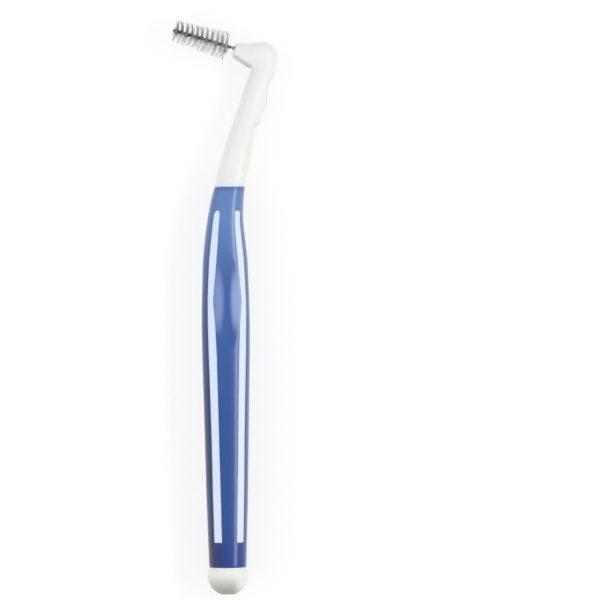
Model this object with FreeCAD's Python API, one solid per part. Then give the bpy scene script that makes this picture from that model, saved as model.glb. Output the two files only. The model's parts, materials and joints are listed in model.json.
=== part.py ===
import FreeCAD, Part
import math
import os

# Interdental brush with an angled neck, in millimetres and degrees.
# It is drawn with the middle of its flat tail end at the origin, the grip along +Y, the back of the neck
# towards +X and the brush towards -X. At the end it is rolled as it lies by itself on a table, on the grip
# and the elbow, and its lowest point is put on the floor.

# Grip: an oval bar, with the sleeve outside and the core's shaft inside.
knob_length = 6.75
sleeve_length = 95.0
grip_width = 12.1
grip_thickness = 9.8
sleeve_wall = 1.6
sleeve_chamfer = 0.35
# Rows of the grip: place along the sleeve, width and thickness of the grip, and the inner and outer edge of
# the ribs, as shares of the sleeve's length, the grip's width and thickness, and the row's half width.
grip_row_shares = [
    (0.000, 0.769, 0.950, 0.390, 0.750),
    (0.066, 0.802, 0.970, 0.390, 0.750),
    (0.200, 0.868, 0.995, 0.405, 0.750),
    (0.330, 0.907, 1.000, 0.435, 0.750),
    (0.460, 0.950, 1.000, 0.455, 0.765),
    (0.560, 0.986, 1.000, 0.470, 0.780),
    (0.640, 1.000, 1.000, 0.515, 0.795),
    (0.700, 0.983, 1.000, 0.600, 0.810),
    (0.760, 0.955, 1.000, 0.530, 0.795),
    (0.810, 0.925, 0.990, 0.470, 0.775),
    (0.860, 0.843, 0.955, 0.440, 0.755),
    (0.900, 0.765, 0.895, 0.430, 0.745),
    (0.925, 0.727, 0.860, 0.430, 0.740),
    (0.965, 0.672, 0.805, 0.430, 0.740),
    (1.000, 0.630, 0.760, 0.430, 0.740),
]
# The ribs run along these rows, and are rounded past the last one by rib_crown.
rib_row_shares = grip_row_shares[1:-2]
rib_crown = 1.2

# Thumb rests: a shallow hollow in the front and one in the back of the grip.
thumb_place = 66.5
thumb_length = 25.0
thumb_depth = 1.1
thumb_cross_radius = 14.0
thumb_cutter_share = 1.5

# Tail knob: a ball cut flat at the end.
knob_radius = 5.05
knob_flat_radius = 1.9

# Neck: it bends away from the grip's line and then runs straight to the elbow. The bend begins in the grip,
# bend_lead before the sleeve's end.
bend_lead = 11.75
bend_radius = 55.0
bend_angle = 16.5
neck_length = 29.6
# Rows of the neck, from the bend's end: place on the straight run, as a share of it, and the shares of
# neck_width that it reaches to the left and to the back, and of neck_thickness.
neck_width = 7.4
neck_thickness = 7.2
neck_row_shares = [
    (0.000, 0.515, 0.480, 0.980),
    (0.170, 0.510, 0.415, 0.925),
    (0.300, 0.490, 0.355, 0.880),
    (0.420, 0.460, 0.335, 0.850),
    (0.550, 0.440, 0.355, 0.830),
    (0.700, 0.410, 0.370, 0.815),
]

# Heel: a low step on the back of the neck. Place back from the elbow and reach behind the neck's line.
heel_width = 4.6
heel_rows = heel_foot, heel_flat, heel_nib, heel_fade, heel_end = 16.5, 12.9, 11.7, 9.6, 4.0
heel_reaches = foot_reach, flat_reach, nib_reach, fade_reach, end_reach = 3.15, 3.15, 3.6, 3.05, 2.6

# Elbow and head: oval rows that fan about a point inside the elbow's corner, then run out to the nose.
# The point is so far below the wire's line and so far before the neck's line.
fan_drop = 4.5
fan_offset = 3.85
# Each row of the fan: turn as a share of the quarter turn, inner reach, outer reach and thickness.
fan_size = 8.9
fan_row_shares = [
    (0.00, 0.124, 0.762, 0.665),
    (0.25, 0.138, 0.830, 0.690),
    (0.50, 0.136, 1.000, 0.740),
    (0.75, 0.118, 0.990, 0.740),
    (1.00, 0.105, 0.805, 0.685),
]
fan_steps = 3
# Rows of the head, from the nose: distance, reach above and below the wire's line, and thickness.
head_length = 8.25
nose_size = 3.75
head_row_shares = [
    (0.300, 0.550, 0.790, 0.650),
    (0.070, 0.435, 0.640, 0.530),
    (0.020, 0.370, 0.570, 0.460),
    (0.000, 0.280, 0.470, 0.365),
]

# Wire: two strands twisted together, with the fold at the tip.
strand_radius = 0.2
strand_turn_length = 2.6
strand_sides = 8
strand_rings_per_turn = 8
fold_rings = 6
wire_hold_depth = 5.2
wire_bare_length = 1.3
bore_clearance = 0.03

# Filaments: straight threads through the middle of the wire, clamped between its strands.
filament_radius = 0.05
filament_clearance = 0.012
filament_turns = 11
filaments_per_turn = 12
filament_sides = 4
root_reach = 3.6
tip_reach = 2.75

# How it lies: the elbow's side goes down by this angle until the elbow touches the table.
lie_angle = 7.0

overrun = 5.0

plan_axis = FreeCAD.Vector(0, 0, 1)
strand_offset = strand_radius + filament_radius + filament_clearance
half_turn_length = strand_turn_length / 2
sleeve_end = knob_length + sleeve_length
straight_length = sleeve_end - bend_lead


def in_between(rows, steps):
    """The rows of a table with more between each two, in so many steps, on a smooth curve for each column."""
    slopes = []
    for i in range(len(rows)):
        before = rows[max(i - 1, 0)]
        after = rows[min(i + 1, len(rows) - 1)]
        slopes.append([(b - a) / (after[0] - before[0]) for a, b in zip(before, after)])
    found = []
    for i in range(len(rows) - 1):
        span = rows[i + 1][0] - rows[i][0]
        for step in range(steps):
            share = step / steps
            row = []
            for a, b, start, end in zip(rows[i], rows[i + 1], slopes[i], slopes[i + 1]):
                bend = (1 - share) * (start * span - (b - a)) - share * (end * span - (b - a))
                row.append(a + (b - a) * share + share * (1 - share) * bend)
            found.append(row)
    return [*found, rows[-1]]


def oval(centre, outward, half_width, half_thickness):
    """Closed oval wire square to the plan: half_width along outward, half_thickness up."""
    side = FreeCAD.Vector(*outward)
    face = side.cross(plan_axis)
    shape = FreeCAD.Matrix(
        side.x * half_width, 0, face.x, centre[0],
        side.y * half_width, 0, face.y, centre[1],
        0, half_thickness, 0, 0,
        0, 0, 0, 1,
    )
    return Part.Wire([Part.Circle().toShape()]).transformGeometry(shape)


def centre_offset(place):
    """How far the bend has carried the middle of the grip sideways at this place along it."""
    past = max(0, place - straight_length)
    return bend_radius - math.sqrt(bend_radius**2 - past**2)


def grip_row(row, inset, shift=0):
    """One oval row of the grip, its outline moved in by inset and the row moved up the grip by shift."""
    place = knob_length + row[0] * sleeve_length
    half_width = row[1] * grip_width / 2 - inset
    half_thickness = row[2] * grip_thickness / 2 - inset
    return oval((centre_offset(place), place + shift), (1, 0), half_width, half_thickness)


def grip_bar(inset):
    """The grip's oval bar between the knob and the neck, its surface moved in by inset."""
    return Part.makeLoft([grip_row(row, inset) for row in grip_row_shares], True, True)


def chamfered_bar():
    """The grip's oval bar with its two end edges broken, as the sleeve's ends are."""
    rows = [grip_row(row, 0) for row in grip_row_shares[1:-1]]
    first, last = grip_row_shares[0], grip_row_shares[-1]
    rows = [grip_row(first, sleeve_chamfer), grip_row(first, 0, sleeve_chamfer), *rows]
    rows += [grip_row(last, 0, -sleeve_chamfer), grip_row(last, sleeve_chamfer)]
    return Part.makeLoft(rows, True, True)


def thumb_cutters():
    """Two pieces of a wide rim with a crowned tread, which leave the thumb rests' hollows."""
    rim_radius = thumb_length**2 / (8 * thumb_depth)
    half_turn = math.degrees(math.asin(thumb_length / 2 / rim_radius)) * thumb_cutter_share
    crown = thumb_cross_radius - math.sqrt(thumb_cross_radius**2 - grip_width**2 / 4)
    place = knob_length + thumb_place
    cutters = []
    for side in (1, -1):
        low = side * (grip_thickness / 2 - thumb_depth)
        left = FreeCAD.Vector(-grip_width / 2, place, low + side * crown)
        right = FreeCAD.Vector(grip_width / 2, place, low + side * crown)
        rise = plan_axis * (side * overrun)
        tread = Part.Arc(left, FreeCAD.Vector(0, place, low), right).toShape()
        rest = Part.makePolygon([right, right + rise, left + rise, left])
        section = Part.Face(Part.Wire([tread, *rest.Edges]))
        hub = FreeCAD.Vector(0, place, low + side * rim_radius)
        section.rotate(hub, FreeCAD.Vector(1, 0, 0), -half_turn)
        cutters.append(section.revolve(hub, FreeCAD.Vector(1, 0, 0), 2 * half_turn))
    return cutters


def rib_edge(side, column):
    """Points of a rib's edge in the plan: column 3 is the inner edge and column 4 the outer."""
    points = []
    for row in rib_row_shares:
        place = knob_length + row[0] * sleeve_length
        offset = side * row[column] * row[1] * grip_width / 2
        points.append(FreeCAD.Vector(centre_offset(place) + offset, place, -grip_thickness))
    return points


def rib_prism(side):
    """A rib's outline in the plan, drawn right through the grip: round at the top, square at the tail."""
    inner = rib_edge(side, 3)
    outer = rib_edge(side, 4)
    crown = (inner[-1] + outer[-1]) / 2 + FreeCAD.Vector(0, rib_crown, 0)
    sides = Part.makePolygon(outer[::-1] + inner)
    outline = Part.Wire([*sides.Edges, Part.Arc(inner[-1], crown, outer[-1]).toShape()])
    return Part.Face(outline).extrude(plan_axis * (2 * grip_thickness))


def tail_knob():
    """The ball at the tail, flat at its end and flat where the sleeve stands on it."""
    middle = math.sqrt(knob_radius**2 - knob_flat_radius**2)
    seat_radius = math.sqrt(knob_radius**2 - (knob_length - middle)**2)
    rim = Part.Arc(
        FreeCAD.Vector(knob_flat_radius, 0, 0),
        FreeCAD.Vector(knob_radius, middle, 0),
        FreeCAD.Vector(seat_radius, knob_length, 0),
    ).toShape()
    seat = Part.LineSegment(FreeCAD.Vector(seat_radius, knob_length, 0), FreeCAD.Vector(0, knob_length, 0))
    axis = Part.LineSegment(FreeCAD.Vector(0, knob_length, 0), FreeCAD.Vector(0, 0, 0))
    end = Part.LineSegment(FreeCAD.Vector(0, 0, 0), FreeCAD.Vector(knob_flat_radius, 0, 0))
    half = Part.Face(Part.Wire([end.toShape(), rim, seat.toShape(), axis.toShape()]))
    return half.revolve(FreeCAD.Vector(0, 0, 0), FreeCAD.Vector(0, 1, 0), 360)


# Directions in the plan: up the neck, out of its back, and the two places that follow from the bend.
lean = math.radians(bend_angle)
up_neck = FreeCAD.Vector(math.sin(lean), math.cos(lean), 0)
out_back = FreeCAD.Vector(math.cos(lean), -math.sin(lean), 0)
bend_end = FreeCAD.Vector(
    bend_radius * (1 - math.cos(lean)),
    straight_length + bend_radius * math.sin(lean),
    0,
)
elbow = bend_end + up_neck * neck_length


def row_between(near, far, outward, half_thickness):
    """An oval row whose two ends in the plan are near and far along outward."""
    middle = (near + far) / 2
    return oval((middle.x, middle.y), (outward.x, outward.y), (far - near).Length / 2, half_thickness)


def neck_rows():
    """The rows of the neck, from the one it shares with the grip's end to below the elbow."""
    rows = [grip_row(grip_row_shares[-1], 0)]
    for along, left, back, thickness in neck_row_shares:
        middle = bend_end + up_neck * (along * neck_length)
        near = middle - out_back * (left * neck_width)
        far = middle + out_back * (back * neck_width)
        rows.append(row_between(near, far, out_back, thickness * neck_thickness / 2))
    return rows


def elbow_rows():
    """The rows that turn from across the neck to across the head, like the leaves of a fan."""
    pivot = elbow - up_neck * fan_drop - out_back * fan_offset
    rows = []
    for turn, inner, outer, thickness in in_between(fan_row_shares, fan_steps):
        angle = turn * math.pi / 2
        outward = out_back * math.cos(angle) + up_neck * math.sin(angle)
        near = pivot + outward * (inner * fan_size)
        far = pivot + outward * (outer * fan_size)
        rows.append(row_between(near, far, outward, thickness * fan_size / 2))
    return rows


def head_rows():
    """The rows that taper to the nose and round it off."""
    nose = elbow - out_back * head_length
    rows = []
    for along, above, below, thickness in head_row_shares:
        middle = nose + out_back * (along * head_length)
        near = middle - up_neck * (below * nose_size)
        far = middle + up_neck * (above * nose_size)
        rows.append(row_between(near, far, up_neck, thickness * nose_size))
    return rows


def neck_and_head():
    """The neck, the elbow and the head in one skin."""
    return Part.makeLoft(neck_rows() + elbow_rows() + head_rows(), True, True)


def heel():
    """The step on the back of the neck: a keel of narrow rows with flats between them."""
    rows = []
    for drop, reach in zip(heel_rows, heel_reaches):
        near = elbow - up_neck * drop
        far = near + out_back * reach
        rows.append(row_between(near, far, out_back, heel_width / 2))
    return Part.makeLoft(rows, True, True)


def wire_bore():
    """The hole in the head that the wire's ends stand in."""
    nose = elbow - out_back * head_length
    deep = nose + out_back * wire_hold_depth
    radius = strand_offset + strand_radius + bore_clearance
    return Part.makeCylinder(radius, wire_hold_depth + overrun, deep, out_back * -1)


def make_handle_core():
    """The white moulding: knob, shaft, ribs, neck, heel and head."""
    ribs = [rib_prism(side).common(grip_bar(0)) for side in (1, -1)]
    body = tail_knob().fuse([grip_bar(sleeve_wall), *ribs, neck_and_head(), heel()])
    return body.cut(wire_bore()).removeSplitter()


def make_grip_sleeve():
    """The blue moulding round the core, with the slots that the ribs fill."""
    return chamfered_bar().cut([grip_bar(sleeve_wall), *thumb_cutters(), rib_prism(1), rib_prism(-1)])


def strand_point(place, side):
    """On one strand's middle line, at a distance up the wire: the point, the way out and the way along."""
    twist = 2 * math.pi / strand_turn_length
    out = FreeCAD.Vector(math.cos(place * twist), math.sin(place * twist), 0) * side
    round_way = plan_axis.cross(out)
    point = out * strand_offset + plan_axis * place
    along = plan_axis + round_way * (strand_offset * twist)
    return point, out, along.normalize()


def fold_point(turn, foot):
    """The same on the fold at the tip, at a share of its half turn from one strand to the other."""
    lift = turn * math.pi
    swing = strand_offset * 2 * math.pi / strand_turn_length
    angle = foot * 2 * math.pi / strand_turn_length + swing * math.sin(lift)
    across = FreeCAD.Vector(math.cos(angle), math.sin(angle), 0)
    round_way = plan_axis.cross(across)
    out = across * math.cos(lift) + plan_axis * math.sin(lift)
    along = plan_axis * math.cos(lift) - across * math.sin(lift)
    along += round_way * (swing * math.cos(lift) ** 2)
    return out * strand_offset + plan_axis * foot, out, along.normalize()


def strand_ring(point, out, along):
    """The strand's outline square to its way, as a polygon with its first corner outwards."""
    side = along.cross(out).normalize()
    face_out = side.cross(along)
    corners = []
    for i in range(strand_sides + 1):
        angle = 2 * math.pi * (i % strand_sides) / strand_sides
        corners.append(point + (face_out * math.cos(angle) + side * math.sin(angle)) * strand_radius)
    return Part.makePolygon(corners)


def make_twisted_wire():
    """One wire: up one strand, round the fold, and down the other, cut square at its two ends."""
    length = wire_hold_depth + wire_bare_length + filament_turns * half_turn_length
    steps = round(strand_rings_per_turn * length / strand_turn_length)
    rings = []
    for i in range(steps + 1):
        point, out, along = strand_point(i * length / steps, 1)
        rings.append(strand_ring(point, out, along if i else plan_axis))
    for i in range(1, fold_rings):
        rings.append(strand_ring(*fold_point(i / fold_rings, length)))
    for i in range(steps, -1, -1):
        point, out, along = strand_point(i * length / steps, -1)
        rings.append(strand_ring(point, out, (along if i else plan_axis) * -1))
    return Part.makeLoft(rings, True, True)


def filament(place, share):
    """One straight thread square to the wire, between its strands."""
    angle = 2 * math.pi * place / strand_turn_length + math.pi / 2
    out = FreeCAD.Vector(math.cos(angle), math.sin(angle), 0)
    reach = root_reach + share * (tip_reach - root_reach)
    rise = FreeCAD.Vector(0, 0, place)
    across = out.cross(plan_axis)
    corners = []
    for i in range(filament_sides + 1):
        turn = 2 * math.pi * (i % filament_sides) / filament_sides
        offset = across * math.sin(turn) + plan_axis * math.cos(turn)
        corners.append(rise - out * reach + offset * filament_radius)
    return Part.Face(Part.makePolygon(corners)).extrude(out * (2 * reach))


def make_filament_turn(turn):
    """The threads of one half turn of the wire, as separate solids."""
    first = wire_hold_depth + wire_bare_length + turn * half_turn_length
    step = half_turn_length / filaments_per_turn
    threads = []
    for i in range(filaments_per_turn):
        share = (turn + i / filaments_per_turn) / filament_turns
        threads.append(filament(first + (i + 0.5) * step, share))
    return Part.makeCompound(threads)


def stand_in_head(shape):
    """Turn what was drawn along +Z with its foot at the origin into the head's bore."""
    foot = elbow - out_back * (head_length - wire_hold_depth)
    turn = FreeCAD.Rotation(plan_axis, out_back * -1)
    placed = shape.copy()
    placed.Placement = FreeCAD.Placement(foot, turn)
    return placed


nodes = {
    "handle_core": make_handle_core(),
    "grip_sleeve": make_grip_sleeve(),
    "twisted_wire": stand_in_head(make_twisted_wire()),
}
for turn in range(filament_turns):
    nodes[f"filament_turn_{turn + 1:02d}"] = stand_in_head(make_filament_turn(turn))

# Lay it down: roll it, then bring its outline's middle over the origin and its lowest point to the floor.
for shape in nodes.values():
    shape.rotate(FreeCAD.Vector(0, 0, 0), FreeCAD.Vector(0, 1, 0), lie_angle)
whole = Part.makeCompound(list(nodes.values())).optimalBoundingBox(False, False)
to_floor = FreeCAD.Vector(-whole.Center.x, -whole.Center.y, -whole.ZMin)

os.makedirs("parts", exist_ok=True)
for name, shape in nodes.items():
    shape.translate(to_floor)
    shape.exportStep(f"parts/{name}.step")
    print(name, "solids", len(shape.Solids), "valid", shape.isValid(), "volume", round(shape.Volume, 2))
print("tail end at", [round(x, 3) for x in to_floor], "size", whole.XLength, whole.YLength, whole.ZLength)
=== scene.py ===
import bmesh
import bpy
import json
import math
import random
from mathutils import Color, Matrix, Vector


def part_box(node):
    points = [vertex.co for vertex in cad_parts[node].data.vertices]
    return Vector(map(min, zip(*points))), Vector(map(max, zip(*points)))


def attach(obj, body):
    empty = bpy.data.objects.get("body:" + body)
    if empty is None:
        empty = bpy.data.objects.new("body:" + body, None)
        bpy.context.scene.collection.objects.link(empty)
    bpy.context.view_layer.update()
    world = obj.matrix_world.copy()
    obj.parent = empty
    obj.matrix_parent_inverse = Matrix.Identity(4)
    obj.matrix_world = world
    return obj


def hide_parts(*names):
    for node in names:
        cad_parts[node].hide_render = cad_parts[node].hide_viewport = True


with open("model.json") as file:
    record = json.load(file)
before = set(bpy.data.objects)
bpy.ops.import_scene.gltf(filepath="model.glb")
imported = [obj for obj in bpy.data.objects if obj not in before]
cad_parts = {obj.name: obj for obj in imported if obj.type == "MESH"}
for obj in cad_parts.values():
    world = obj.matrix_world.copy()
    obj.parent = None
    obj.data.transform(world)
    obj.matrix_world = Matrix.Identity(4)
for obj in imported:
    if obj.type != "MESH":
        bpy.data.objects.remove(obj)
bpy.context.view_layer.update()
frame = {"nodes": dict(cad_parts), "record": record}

# The view: straight down on the brush as it lies on a white table, from so far off that lines stay parallel.
# The picture is 150 mm wide, and the handle leans half a degree in it, with the head at the top.
picture_width = 0.150
picture_middle = Vector((0.01824, 0.00166, 0.005))
picture_lean = math.radians(0.485)
camera_height = 1.2
sensor_width = 36.0
nearest_seen, farthest_seen = 0.01, 10.0

camera_data = bpy.data.cameras.new("top_camera")
camera_data.sensor_width = sensor_width
camera_data.lens = sensor_width * camera_height / picture_width
camera_data.clip_start = nearest_seen
camera_data.clip_end = farthest_seen
camera = bpy.data.objects.new("top_camera", camera_data)
camera.location = picture_middle + Vector((0, 0, camera_height))
camera.rotation_euler = (0, 0, -picture_lean)
bpy.context.scene.collection.objects.link(camera)
bpy.context.scene.camera = camera

# The white moulding: one piece of polypropylene, from the tail knob through the ribs in the grip to the head.
# It comes out of a polished steel mould in two halves, so it is satin, with a fine seam round its outline
# and faint flow marks. Between the blue lips of the grip the ribs are painted with a blue cast of bounced
# light.
MILLIMETRE = 0.001


def paint(red, green, blue):
    """A colour given as it looks on a screen, from 0 to 255, as the shader's linear colour."""
    on_screen = Color((red / 255, green / 255, blue / 255))
    return (*on_screen.from_srgb_to_scene_linear(), 1.0)


class Value:
    """A socket that gives a number or a colour. Sums written with it add Math nodes to its material."""

    def __init__(self, finish, socket):
        self.finish = finish
        self.socket = socket

    def math(self, operation, first, second):
        return self.finish.add("ShaderNodeMath", {"operation": operation}, {0: first, 1: second})

    def __add__(self, other):
        return self.math("ADD", self, other)

    def __radd__(self, other):
        return self.math("ADD", other, self)

    def __sub__(self, other):
        return self.math("SUBTRACT", self, other)

    def __rsub__(self, other):
        return self.math("SUBTRACT", other, self)

    def __mul__(self, other):
        return self.math("MULTIPLY", self, other)

    def __rmul__(self, other):
        return self.math("MULTIPLY", other, self)

    def __truediv__(self, other):
        return self.math("DIVIDE", self, other)

    def __rtruediv__(self, other):
        return self.math("DIVIDE", other, self)

    def __abs__(self):
        return self.math("ABSOLUTE", self, 0.0)


class Finish:
    """The nodes of a material, or of the world, which end in one shader."""

    def __init__(self, holder, shader="Principled BSDF"):
        holder.use_nodes = True
        self.holder = holder
        self.tree = holder.node_tree
        self.shader = self.tree.nodes[shader]

    def add(self, kind, settings, sockets, output=0):
        """A node of this kind, with its settings made first and its sockets fed after; gives one output."""
        node = self.tree.nodes.new(kind)
        for key, value in settings.items():
            if key == "stops":
                ramp = node.color_ramp
                while len(ramp.elements) < len(value):
                    ramp.elements.new(1.0)
                for element, (position, colour) in zip(ramp.elements, value):
                    element.position = position
                    element.color = colour
            else:
                setattr(node, key, value)
        for key, value in sockets.items():
            self.feed(node.inputs[key], value)
        return Value(self, node.outputs[output])

    def feed(self, socket, value):
        if isinstance(value, Value):
            self.tree.links.new(value.socket, socket)
        else:
            socket.default_value = value

    def set(self, sockets):
        """Feed the shader's sockets, by name."""
        for key, value in sockets.items():
            self.feed(self.shader.inputs[key], value)

    def place(self):
        """The place on the surface in metres."""
        return self.add("ShaderNodeTexCoord", {}, {}, "Object")

    def axis(self, name):
        """One coordinate of that place: X, Y or Z."""
        return self.add("ShaderNodeSeparateXYZ", {}, {0: self.place()}, name)

    def noise(self, size, detail, stretch=(1, 1, 1)):
        """Soft spots of this size in metres, drawn out along an axis where stretch is under 1."""
        place = self.add("ShaderNodeMapping", {}, {"Vector": self.place(), "Scale": stretch})
        return self.add("ShaderNodeTexNoise", {}, {"Vector": place, "Scale": 1 / size, "Detail": detail})

    def blend(self, share, first, second):
        """The first colour where share is 0 and the second where it is 1."""
        return self.add("ShaderNodeMix", {"data_type": "RGBA"}, {0: share, 6: first, 7: second}, 2)

    def ease(self, value, start, end):
        """A soft step from 0 at start to 1 at end. Start may be the higher of the two, for a step down."""
        settings = {"interpolation_type": "SMOOTHSTEP"}
        return self.add("ShaderNodeMapRange", settings, {"Value": value, "From Min": start, "From Max": end})

    def bump(self, height, depth, under=None):
        """The normal of a surface that height lifts by up to depth in metres, on top of another bump."""
        sockets = {"Height": height, "Distance": depth}
        if under:
            sockets["Normal"] = under
        return self.add("ShaderNodeBump", {}, sockets)


def new_piece(name, mesh, finish, slot, *nodes):
    """A finished piece from a bmesh: it gets its finish, rides on the brush and stands for nodes. slot is not
    used.
    """
    data = bpy.data.meshes.new(name)
    mesh.to_mesh(data)
    mesh.free()
    data.materials.append(finish.holder)
    piece = bpy.data.objects.new(name, data)
    bpy.context.scene.collection.objects.link(piece)
    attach(piece, "root")
    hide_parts(*nodes)
    return piece


core_low, core_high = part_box("handle_core")
sleeve_low, sleeve_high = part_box("grip_sleeve")
tail_end = Vector(frame["record"]["mounts"][0]["pos_m"])
# The brush lies on its grip and its elbow, rolled by this angle.
lie_angle = math.radians(7)

fresh_white, flow_white = paint(238, 238, 236), paint(229, 229, 226)
white_roughness, white_spread = 0.42, 0.12
flow_size, flow_depth = 4 * MILLIMETRE, 0.05 * MILLIMETRE
grain_size, grain_depth = 0.25 * MILLIMETRE, 0.004 * MILLIMETRE
seam_width, seam_height = 0.06 * MILLIMETRE, 0.03 * MILLIMETRE
see_through_depth = 1.5 * MILLIMETRE

# Painted shade: the tail knob is painted darker, a yellowish grey, towards its end, on the left, where it is
# in shade.
knob_shade_white = paint(166, 164, 150)
knob_shade_length = 6 * MILLIMETRE
shaded_x, unshaded_x = 0.5 * MILLIMETRE, 3.5 * MILLIMETRE

# Painted shade: the head has a darker face underneath, from the nose to the neck, turned from the light.
chin_shade_white = paint(202, 202, 200)
chin_x, chin_y = core_high.x - 11.3 * MILLIMETRE, core_high.y - 3.6 * MILLIMETRE
chin_turn = math.radians(33)
chin_length, chin_width = 5.8 * MILLIMETRE, 0.8 * MILLIMETRE

# Painted light: in the grip, and for a short way past its ends, the white is tinted blue, as by light bounced
# from the blue sleeve.
blue_bounce_white = paint(219, 231, 255)
tail_fade, neck_fade = 1 * MILLIMETRE, 1.5 * MILLIMETRE

white = Finish(bpy.data.materials.new("white_polypropylene"))
x, y, z = white.axis("X"), white.axis("Y"), white.axis("Z")
flow = white.noise(flow_size, detail=3, stretch=(1, 0.3, 1))
colour = white.blend(flow, fresh_white, flow_white)

# Painted shade on the end of the tail knob.
knob_shade = white.ease(y, core_low.y + knob_shade_length, core_low.y) * white.ease(x, unshaded_x, shaded_x)
colour = white.blend(knob_shade, colour, knob_shade_white)

# Painted shade under the head.
off_x, off_y = x - chin_x, y - chin_y
into_head = off_x * math.sin(chin_turn) + off_y * math.cos(chin_turn)
to_neck = off_x * math.cos(chin_turn) - off_y * math.sin(chin_turn)
chin = white.ease(abs(into_head - chin_width / 4), chin_width, chin_width / 4)
chin = chin * white.ease(to_neck, -chin_width, chin_width)
chin = chin * white.ease(to_neck, chin_length, chin_length - chin_width)
colour = white.blend(chin, colour, chin_shade_white)

# Painted blue bounce light on the white in the grip.
in_grip = white.ease(y, sleeve_low.y, sleeve_low.y + tail_fade)
in_grip = in_grip * white.ease(y, sleeve_high.y + neck_fade, sleeve_high.y)
colour = white.blend(in_grip, colour, blue_bounce_white)

# The mould's halves meet in the brush's own middle plane, which is tilted as the brush lies.
off_seam = abs((x - tail_end.x) * math.sin(lie_angle) + (z - tail_end.z) * math.cos(lie_angle))
grain = white.bump(white.noise(grain_size, detail=1), grain_depth)
waves = white.bump(flow, flow_depth, under=grain)
seam = white.bump(white.ease(off_seam, seam_width, 0), seam_height, under=waves)
white.set({"Base Color": colour, "Roughness": white_roughness + flow * white_spread, "Normal": seam})
white.set({"Specular IOR Level": 0.3, "Subsurface Weight": 0.3, "Subsurface Radius": (1, 1, 1)})
white.set({"Subsurface Scale": see_through_depth})

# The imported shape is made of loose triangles, so a copy of it is joined up and shaded as one smooth skin
# between its sharp edges.
join_distance = 0.002 * MILLIMETRE
sharp_angle = math.radians(32)

skin = bmesh.new()
skin.from_mesh(frame["nodes"]["handle_core"].data)
bmesh.ops.remove_doubles(skin, verts=skin.verts, dist=join_distance)
bmesh.ops.dissolve_degenerate(skin, edges=skin.edges, dist=join_distance)
for edge in skin.edges:
    edge.smooth = edge.calc_face_angle(math.pi) < sharp_angle
for face in skin.faces:
    face.smooth = True
new_piece("white_moulding", skin, white, "white_polypropylene", "handle_core")

# The blue sleeve: soft elastomer moulded round the white piece, with four slots that its ribs fill and a
# thumb rest on the front and the back. Its colour holds painted light, paler towards the neck and in two
# spots beside the thumb rest, and painted shade on its left side.
grip_width = 12.1 * MILLIMETRE
grip_thickness = 9.8 * MILLIMETRE
# The sleeve's last part bends with the neck.
bend_lead = 11.75 * MILLIMETRE
bend_radius = 55 * MILLIMETRE
# Rows along the sleeve: place, width, thickness, and the ribs' inner and outer edge, all as shares.
grip_row_shares = [
    (0.000, 0.769, 0.950, 0.390, 0.750),
    (0.066, 0.802, 0.970, 0.390, 0.750),
    (0.200, 0.868, 0.995, 0.405, 0.750),
    (0.330, 0.907, 1.000, 0.435, 0.750),
    (0.460, 0.950, 1.000, 0.455, 0.765),
    (0.560, 0.986, 1.000, 0.470, 0.780),
    (0.640, 1.000, 1.000, 0.515, 0.795),
    (0.700, 0.983, 1.000, 0.600, 0.810),
    (0.760, 0.955, 1.000, 0.530, 0.795),
    (0.810, 0.925, 0.990, 0.470, 0.775),
    (0.860, 0.843, 0.955, 0.440, 0.755),
    (0.900, 0.765, 0.895, 0.430, 0.745),
    (0.925, 0.727, 0.860, 0.430, 0.740),
    (0.965, 0.672, 0.805, 0.430, 0.740),
    (1.000, 0.630, 0.760, 0.430, 0.740),
]
# How far from each corner between two rows the rounding starts.
ease_share = 0.012
# A rib runs from its start to its arch, which closes at its end. pinch is how narrow the arch's last row is,
# and spread_rows is how many rows later the columns are as wide apart as before.
rib_start_share, rib_arch_share, rib_end_share = 0.066, 0.925, 0.9376
pinch = 0.04
foot_rows, rib_rows, arch_rows, top_rows, spread_rows = 10, 160, 6, 12, 5
# Columns round a quarter of the oval: on the flank, across the rib and on the middle.
flank_columns, rib_columns, middle_columns = 8, 4, 10
# Both ends are rounded over and drawn in against the white piece.
edge_radius = 0.35 * MILLIMETRE
edge_rows = 4
end_inset = 1.5 * MILLIMETRE
skin_thickness = 0.45 * MILLIMETRE
lip_radius = 0.12 * MILLIMETRE
lip_segments = 2
lip_angle = math.radians(50)
# The thumb rest is a hollow, curved along the grip and across it. Its rim is soft.
thumb_place = 66.5 * MILLIMETRE
thumb_length = 25 * MILLIMETRE
thumb_depth = 1.1 * MILLIMETRE
thumb_cross_radius = 14 * MILLIMETRE
thumb_softness = 0.16 * MILLIMETRE

lay_down = Matrix.Translation(tail_end) @ Matrix.Rotation(lie_angle, 4, "Y")
sleeve_foot = sleeve_low.y - tail_end.y
sleeve_length = sleeve_high.y - sleeve_low.y


def straight_row(share):
    """The grip's row at this share of the sleeve, on straight lines between the rows of the table."""
    share = min(max(share, 0), 1)
    after = next(row for row in grip_row_shares[1:] if row[0] >= share)
    before = grip_row_shares[grip_row_shares.index(after) - 1]
    part = (share - before[0]) / (after[0] - before[0])
    return [a + (b - a) * part for a, b in zip(before, after)]


def eased_row(share):
    """The same with its corners rounded off, as the mean of rows on both sides."""
    rows = [straight_row(share + step * ease_share) for step in (-1, -0.5, 0, 0.5, 1)]
    return [sum(column) / len(rows) for column in zip(*rows)]


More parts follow.
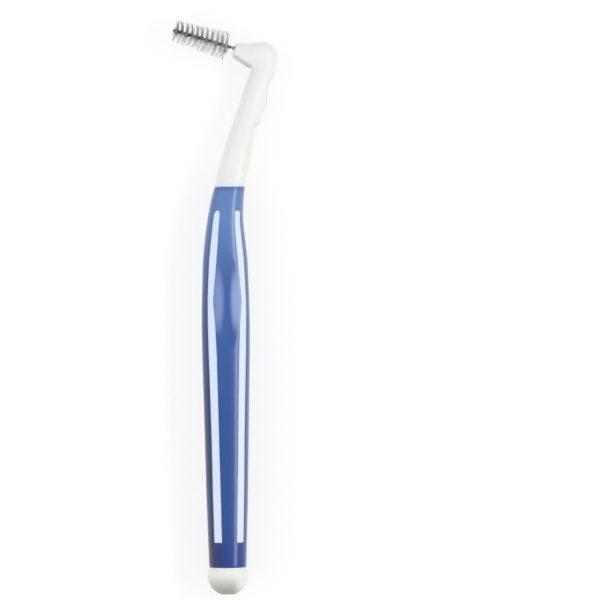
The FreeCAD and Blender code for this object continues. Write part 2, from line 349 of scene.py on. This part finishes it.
def skin_rows():
    """Rows of the skin from the tail up: share of the sleeve, how open the ribs are, and the end's inset."""
    edge_share = edge_radius / sleeve_length
    rounding = [(0, 1, end_inset)]
    for i in range(edge_rows):
        turn = math.pi / 2 * i / edge_rows
        rounding.append((edge_share * (1 - math.cos(turn)), 1, edge_radius * (1 - math.sin(turn))))
    foot_length = rib_start_share - edge_share
    rows = rounding + [(edge_share + foot_length * i / foot_rows, 1, 0) for i in range(foot_rows)]
    rib_length = rib_arch_share - rib_start_share
    rows += [(rib_start_share + rib_length * i / rib_rows, 1, 0) for i in range(rib_rows + 1)]
    for i in range(1, arch_rows + 1):
        turn = math.pi / 2 * i / arch_rows
        share = rib_arch_share + (rib_end_share - rib_arch_share) * math.sin(turn)
        rows.append((share, max(math.cos(turn), pinch), 0))
    top_length = 1 - edge_share - rib_end_share
    for i in range(1, top_rows + 1):
        rows.append((rib_end_share + top_length * i / top_rows, min(pinch + i / spread_rows, 1), 0))
    return rows + [(1 - share, opening, inset) for share, opening, inset in reversed(rounding)]


def column_angles(inner, outer):
    """Angles round the oval, from its right edge over the front, with points along the ribs' edges."""
    stops = [0, math.acos(outer), math.acos(inner), math.pi / 2]
    quarter = []
    for low, high, count in zip(stops, stops[1:], (flank_columns, rib_columns, middle_columns)):
        quarter += [low + (high - low) * i / count for i in range(count)]
    half = [*quarter, math.pi / 2, *[math.pi - angle for angle in quarter[:0:-1]]]
    return [*half, *[angle + math.pi for angle in half], 2 * math.pi]


def hollow_depth(across, place, surface):
    """How far the thumb rest's floor lies under the oval's surface at this place in the plan."""
    rim_radius = thumb_length ** 2 / (8 * thumb_depth)
    crown = thumb_cross_radius - math.sqrt(thumb_cross_radius ** 2 - across ** 2)
    bottom = grip_thickness / 2 - thumb_depth
    reach = min(abs(place - thumb_place), thumb_length)
    floor = bottom + rim_radius - math.sqrt((rim_radius - crown) ** 2 - reach ** 2)
    under = surface - floor
    return under ** 2 / (under + thumb_softness) if under > 0 else 0


def skin_points(share, opening, inset):
    """The points of one row of the skin, each with its flank: -1 at the left edge, 1 at the right."""
    _, width, thickness, inner, outer = eased_row(share)
    rib_middle, rib_half = (inner + outer) / 2, (outer - inner) / 2 * opening
    place = share * sleeve_length
    past = max(place - sleeve_length + bend_lead, 0)
    bend = bend_radius - math.sqrt(bend_radius ** 2 - past ** 2)
    points = []
    for angle in column_angles(rib_middle - rib_half, rib_middle + rib_half):
        across = (width * grip_width / 2 - inset) * math.cos(angle)
        height = (thickness * grip_thickness / 2 - inset) * math.sin(angle)
        height -= math.copysign(hollow_depth(across, place, abs(height)), height)
        point = lay_down @ Vector((across + bend, sleeve_foot + place, height))
        points.append((point, math.cos(angle)))
    return points


# The skin is a grid, wrapped round the grip. Each of its points keeps its flank, which the painted shade
# and reflection on the sleeve's sides follow. The faces over the ribs are cut out again, and leave the slots.
sleeve_rows = skin_rows()
column_count = 4 * (flank_columns + rib_columns + middle_columns)
half_count = column_count // 2
skin = bmesh.new()
bmesh.ops.create_grid(skin, x_segments=column_count, y_segments=len(sleeve_rows) - 1, size=1)
flanks = skin.verts.layers.float.new("flank")
skin.verts.ensure_lookup_table()
skin.faces.ensure_lookup_table()
slots = []
for row, (share, opening, inset) in enumerate(sleeve_rows):
    start = row * (column_count + 1)
    ring = skin.verts[start:start + column_count + 1]
    for vert, (point, flank) in zip(ring, skin_points(share, opening, inset)):
        vert.co = point
        vert[flanks] = flank
    if rib_start_share <= share < rib_end_share:
        for column in range(column_count):
            in_half = column % half_count
            from_flank = min(in_half, half_count - 1 - in_half)
            if flank_columns <= from_flank < flank_columns + rib_columns:
                slots.append(skin.faces[row * column_count + column])
bmesh.ops.delete(skin, geom=slots, context="FACES")
bmesh.ops.remove_doubles(skin, verts=skin.verts, dist=join_distance)
bmesh.ops.recalc_face_normals(skin, faces=skin.faces)
for face in skin.faces:
    face.smooth = True

# Painted light: the blue runs from darkest at the tail end to palest near the neck, where the light is
# brighter.
lit_blue_stops = [
    (0.00, paint(6, 54, 132)),
    (0.10, paint(18, 68, 142)),
    (0.40, paint(24, 76, 147)),
    (0.75, paint(52, 91, 160)),
    (0.90, paint(87, 127, 184)),
    (0.985, paint(90, 128, 182)),
    (0.993, paint(76, 110, 166)),
]
mottle_size, mottle_depth = 2.5 * MILLIMETRE, 0.04 * MILLIMETRE
duller, brighter = (0.9, 0.92, 0.95, 1.0), (1.08, 1.06, 1.03, 1.0)
leather_size, leather_depth = 0.18 * MILLIMETRE, 0.006 * MILLIMETRE
blue_roughness, blue_spread = 0.24, 0.1

# Painted highlights: on both sides of the thumb rest's middle the blue is painted paler in a spot. Each has
# its place across and its strength.
highlight_blue = paint(160, 178, 222)
highlight_spots = ((2.5 * MILLIMETRE, 0.75), (-2.3 * MILLIMETRE, 0.45))
spot_width, spot_length = 2.0 * MILLIMETRE, 10 * MILLIMETRE
spot_y = tail_end.y + thumb_place + 7.0 * MILLIMETRE

# Painted shade makes the left side darker, less so towards the neck and farther in at the tail end, and a
# painted reflection makes the right side greyer. Each grows from its start to its end, which are places on
# the flank or along the sleeve.
shade_blue, shade_strength = paint(8, 28, 68), 0.85
shade_start, shade_end = -0.64, -0.84
neck_shade = 0.3
fade_start, fade_end = sleeve_high.y - 10 * MILLIMETRE, sleeve_high.y - 75 * MILLIMETRE
foot_shade_blue, foot_strength = paint(8, 38, 96), 0.75
foot_start, foot_end = -0.05, -0.6
foot_top, foot_bottom = sleeve_low.y + 8 * MILLIMETRE, sleeve_low.y + 4.5 * MILLIMETRE
reflection_grey_blue, reflection_strength = paint(122, 132, 158), 0.45
reflection_start, reflection_end = 0.70, 1.0

blue = Finish(bpy.data.materials.new("blue_elastomer"))
x, y = blue.axis("X"), blue.axis("Y")
# The blue with its painted light, darker at the tail and paler towards the neck.
along = blue.add("ShaderNodeMapRange", {}, {"Value": y, "From Min": sleeve_low.y, "From Max": sleeve_high.y})
colour = blue.add("ShaderNodeValToRGB", {"stops": lit_blue_stops}, {0: along})

# The mottle makes the blue a little duller in some places and brighter in others.
mottle = blue.noise(mottle_size, detail=3, stretch=(1, 0.5, 1))
times = {"data_type": "RGBA", "blend_type": "MULTIPLY"}
colour = blue.add("ShaderNodeMix", times, {0: 1.0, 6: colour, 7: blue.blend(mottle, duller, brighter)}, 2)

# Painted highlights beside the thumb rest.
for spot_x, strength in highlight_spots:
    off_x, off_y = (x - spot_x) / spot_width, (y - spot_y) / spot_length
    spot = blue.ease(off_x * off_x + off_y * off_y, 1, 0)
    colour = blue.blend(spot * strength, colour, highlight_blue)

# Painted shade on the left side and at the foot, and a painted reflection on the right side.
flank = blue.add("ShaderNodeAttribute", {"attribute_name": "flank"}, {}, "Fac")
foot = blue.ease(flank, foot_start, foot_end) * blue.ease(y, foot_top, foot_bottom)
colour = blue.blend(foot * foot_strength, colour, foot_shade_blue)
lower = neck_shade + blue.ease(y, fade_start, fade_end) * (1 - neck_shade)
colour = blue.blend(blue.ease(flank, shade_start, shade_end) * lower * shade_strength, colour, shade_blue)
colour = blue.blend(blue.ease(flank, reflection_start, reflection_end) * reflection_strength, colour, reflection_grey_blue)

# The soft surface has a fine leathery grain, and a sheen that greys it where it is seen at a slant.
leather = blue.noise(leather_size, detail=2)
waves = blue.bump(mottle, mottle_depth, under=blue.bump(leather, leather_depth))
blue.set({"Base Color": colour, "Roughness": blue_roughness + leather * blue_spread, "Normal": waves})
blue.set({"Specular IOR Level": 0.4, "Sheen Weight": 0.3, "Sheen Roughness": 0.5})

sleeve = new_piece("blue_sleeve", skin, blue, "blue_elastomer", "grip_sleeve")
wall = sleeve.modifiers.new("wall", "SOLIDIFY")
wall.thickness = skin_thickness
wall.offset = -1
lips = sleeve.modifiers.new("lips", "BEVEL")
lips.width = lip_radius
lips.segments = lip_segments
lips.limit_method = "ANGLE"
lips.angle_limit = lip_angle

# The wire: one length of bright stainless steel, folded in half and twisted. The fold is the brush's tip,
# and its two ends are held in the head. Drawing and twisting leave fine lines along it.
strand_radius = 0.2 * MILLIMETRE
strand_offset = 0.262 * MILLIMETRE
strand_sides = 12
points_per_turn = 20
fold_points = 10
bristle_turns = 11
held_length = 5.2 * MILLIMETRE


def middle_of(node):
    """The middle of a node's box."""
    low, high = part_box(node)
    return (low + high) / 2


def sweep(mesh, points, radius, sides):
    """A round rod along these points: a disc at the first one, drawn out from each point to the next."""
    befores, afters = [points[0], *points], [*points[1:], points[-1]]
    ways = [(after - before).normalized() for before, after in zip(befores, afters)]
    turn = Vector((0, 0, 1)).rotation_difference(ways[0]).to_matrix().to_4x4()
    place = Matrix.Translation(points[0]) @ turn
    disc = bmesh.ops.create_circle(mesh, cap_ends=True, segments=sides, radius=radius, matrix=place)
    face = disc["verts"][0].link_faces[0]
    for i in range(1, len(points)):
        drawn = bmesh.ops.extrude_face_region(mesh, geom=[face])["geom"]
        face = next(part for part in drawn if isinstance(part, bmesh.types.BMFace))
        turn = ways[i - 1].rotation_difference(ways[i]).to_matrix()
        bmesh.ops.rotate(mesh, verts=face.verts, cent=points[i - 1], matrix=turn)
        bmesh.ops.translate(mesh, verts=face.verts, vec=points[i] - points[i - 1])


first_turn, last_turn = middle_of("filament_turn_01"), middle_of(f"filament_turn_{bristle_turns:02d}")
wire_way = (last_turn - first_turn).normalized()
half_turn = (last_turn - first_turn).length / (bristle_turns - 1)
bristle_root = first_turn - wire_way * (half_turn / 2)
bristle_length = half_turn * bristle_turns
# From the first filament the wire goes on bare for a half turn, and then into the head.
bare_length = half_turn + held_length
wire_length = bristle_length + bare_length
side_way = wire_way.cross(Vector((0, 0, 1))).normalized()
front_way = side_way.cross(wire_way)


def round_wire(angle):
    """The way out of the wire's middle line at this angle round it."""
    return side_way * math.cos(angle) + front_way * math.sin(angle)


def wire_point(place, side):
    """A point on one strand's middle line, at a distance up the brush from the first filament."""
    out = round_wire(math.pi * place / half_turn) * side
    return bristle_root + wire_way * place + out * strand_offset


steps = round(wire_length / (2 * half_turn) * points_per_turn)
places = [bristle_length - wire_length * i / steps for i in range(steps + 1)]
swing = strand_offset * math.pi / half_turn
fold = []
for i in range(1, fold_points):
    lift = math.pi * i / fold_points
    out = round_wire(math.pi * bristle_length / half_turn + swing * math.sin(lift))
    rise = bristle_length + strand_offset * math.sin(lift)
    fold.append(bristle_root + wire_way * rise + out * (strand_offset * math.cos(lift)))
up_wire = [wire_point(place, 1) for place in reversed(places)]
down_wire = [wire_point(place, -1) for place in places]

dull_steel, bright_steel = paint(120, 118, 118), paint(165, 162, 160)
steel_roughness, steel_spread = 0.25, 0.2
drawing_size, drawing_depth = 0.08 * MILLIMETRE, 0.004 * MILLIMETRE

steel = Finish(bpy.data.materials.new("steel_wire"))
drawing = steel.noise(drawing_size, detail=2, stretch=(0.2, 1, 1))
colour = steel.blend(drawing, dull_steel, bright_steel)
lines = steel.bump(drawing, drawing_depth)
steel.set({"Base Color": colour, "Metallic": 1.0})
steel.set({"Roughness": steel_roughness + drawing * steel_spread, "Normal": lines})

strands = bmesh.new()
sweep(strands, up_wire + fold + down_wire, strand_radius, strand_sides)
bmesh.ops.recalc_face_normals(strands, faces=strands.faces)
for face in strands.faces:
    face.smooth = len(face.verts) == 4
new_piece("twisted_strands", strands, steel, "steel_wire", "twisted_wire")

# The filaments: nylon threads, each laid between the two strands before they are twisted, so that the twist
# fans them out. They are trimmed to a taper, and use has bent them a little.
threads_per_turn = 22
thread_radius = 0.04 * MILLIMETRE
thread_sides = 4
root_reach = 3.75 * MILLIMETRE
tip_reach = 2.9 * MILLIMETRE
reach_spread = 0.12
turn_spread = math.radians(14)
tip_lean = 0.2
lean_spread = 0.2
curl_spread = 0.12
thread_stops = (-1, -0.7, -0.35, 0, 0.35, 0.7, 1)
chance = random.Random(11)

# Painted shade: above the wire the threads are painted grey, and darker towards the brush's tip. Painted
# light makes them pale below it, except for those by the head, which are darker.
tone_size = 0.5 * MILLIMETRE
root_grey, tip_grey = paint(188, 184, 186), paint(116, 118, 120)
tip_share = 0.6
soft_grey, pale_grey = paint(190, 180, 182), paint(225, 216, 218)
pale_reach = 1.6 * MILLIMETRE
head_grey, head_strength = paint(104, 100, 102), 0.8
head_start, head_end = -2.7 * MILLIMETRE, -1.7 * MILLIMETRE
nylon_roughness, nylon_spread = 0.4, 0.1

nylon = Finish(bpy.data.materials.new("nylon_filament"))
tone = nylon.noise(tone_size, detail=2)
# Painted light and shade on the threads.
off_x, off_y = nylon.axis("X") - bristle_root.x, nylon.axis("Y") - bristle_root.y
to_tip = nylon.ease(off_x, 0, -bristle_length)
above = nylon.blend(to_tip * tip_share + tone * (1 - tip_share), root_grey, tip_grey)
below = nylon.blend(tone, soft_grey, pale_grey)
below = nylon.blend(nylon.ease(off_x, head_start, head_end) * head_strength, below, head_grey)
under_wire = nylon.ease(off_y - off_x * (wire_way.y / wire_way.x), 0, -pale_reach)
colour = nylon.blend(under_wire, above, below)
nylon.set({"Base Color": colour, "Roughness": nylon_roughness + tone * nylon_spread})

# Each thread is held at its middle, and its two arms lean towards the tip of the brush, but no farther than
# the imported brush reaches.
threads = bmesh.new()
thread_count = threads_per_turn * bristle_turns
tip_low, tip_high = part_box(f"filament_turn_{bristle_turns:02d}")
left_limit, top_limit = tip_low.x + thread_radius, tip_high.y - thread_radius
for i in range(thread_count):
    share = (i + 0.5) / thread_count
    place = share * bristle_length
    root = bristle_root + wire_way * place
    angle = math.pi * place / half_turn + math.pi / 2 + chance.uniform(-turn_spread, turn_spread)
    arms = {}
    for side in (-1, 1):
        reach = (root_reach + share * (tip_reach - root_reach)) * (1 - chance.uniform(0, reach_spread))
        curl = chance.uniform(-curl_spread, curl_spread)
        out = (round_wire(angle) + round_wire(angle + math.pi / 2) * (curl * side)).normalized() * side
        lean = tip_lean + chance.uniform(-lean_spread, lean_spread)
        lean = min(lean, (root.x + out.x * reach - left_limit) / (reach * abs(wire_way.x)))
        lean = min(lean, (top_limit - root.y - out.y * reach) / (reach * wire_way.y))
        arms[side] = (reach, out, lean, round_wire(angle) * side)
    thread = []
    for stop in thread_stops:
        reach, out, lean, start = arms[1 if stop > 0 else -1]
        far = abs(stop)
        thread.append(root + start.lerp(out, far) * (far * reach) + wire_way * (far * far * lean * reach))
    sweep(threads, thread, thread_radius, thread_sides)
bmesh.ops.recalc_face_normals(threads, faces=threads.faces)
for face in threads.faces:
    face.smooth = True
filament_nodes = [f"filament_turn_{number:02d}" for number in range(1, bristle_turns + 1)]
new_piece("bristles", threads, nylon, "nylon_filament", *filament_nodes)

# The white table in an even white room, with a long soft lamp on the right and a broad one on the left that
# reflections don't show. A third lamp shows only in reflections, as the bright line along the grip. The table
# is grey, and a glow that only views and reflections of it see makes it white.
table_size = 3.0
table_bounce = 0.85
table_grey = 0.25
room_level = 0.75
table_mesh = bpy.data.meshes.new("table")
plate = bmesh.new()
bmesh.ops.create_grid(plate, x_segments=1, y_segments=1, size=table_size / 2)
plate.to_mesh(table_mesh)
plate.free()
table = bpy.data.objects.new("table", table_mesh)
bpy.context.scene.collection.objects.link(table)


def grey(level):
    """A grey of this linear level."""
    return (level, level, level, 1.0)


def seen(finish):
    """1 for what the camera sees, straight, in a reflection or through glass, and 0 for what gives light."""
    rays = ("Is Camera Ray", "Is Glossy Ray", "Is Transmission Ray")
    return sum(finish.add("ShaderNodeLightPath", {}, {}, ray) for ray in rays)


ground = Finish(bpy.data.materials.new("white_table"))
ground_seen = seen(ground)
colour = ground.blend(ground_seen, grey(table_bounce), grey(table_grey))
glow = ground.blend(ground_seen, grey(0), grey(1 - table_grey))
ground.set({"Base Color": colour, "Roughness": 1.0, "Specular IOR Level": 0.0})
ground.set({"Emission Color": glow, "Emission Strength": 1.0})
table_mesh.materials.append(ground.holder)

bpy.context.scene.world = bpy.data.worlds.new("white_room")
room = Finish(bpy.context.scene.world, "Background")
room.set({"Color": grey(1), "Strength": room_level + seen(room) * (1 - room_level)})

lamp_aim = Vector((0, 0.02, 0))
right_place, left_place = Vector((0.40, 0.04, 0.34)), Vector((-0.45, 0, 0.30))


def lamp(name, place, width, length, watts):
    """An oblong soft lamp at place, facing the brush and level along its length."""
    data = bpy.data.lights.new(name, "AREA")
    data.shape = "RECTANGLE"
    data.size = length
    data.size_y = width
    data.energy = watts
    light = bpy.data.objects.new(name, data)
    light.location = place
    light.rotation_euler = (lamp_aim - place).to_track_quat("-Z", "Y").to_euler()
    bpy.context.scene.collection.objects.link(light)
    return light


lamp("right_lamp", right_place, width=0.045, length=0.5, watts=0.85)
left_lamp = lamp("left_lamp", left_place, width=0.5, length=0.8, watts=0.95)
left_lamp.visible_glossy = False
line_lamp = lamp("line_lamp", right_place, width=0.045, length=0.5, watts=1.3)
line_lamp.visible_diffuse = False

bpy.context.scene.view_settings.view_transform = "Standard"
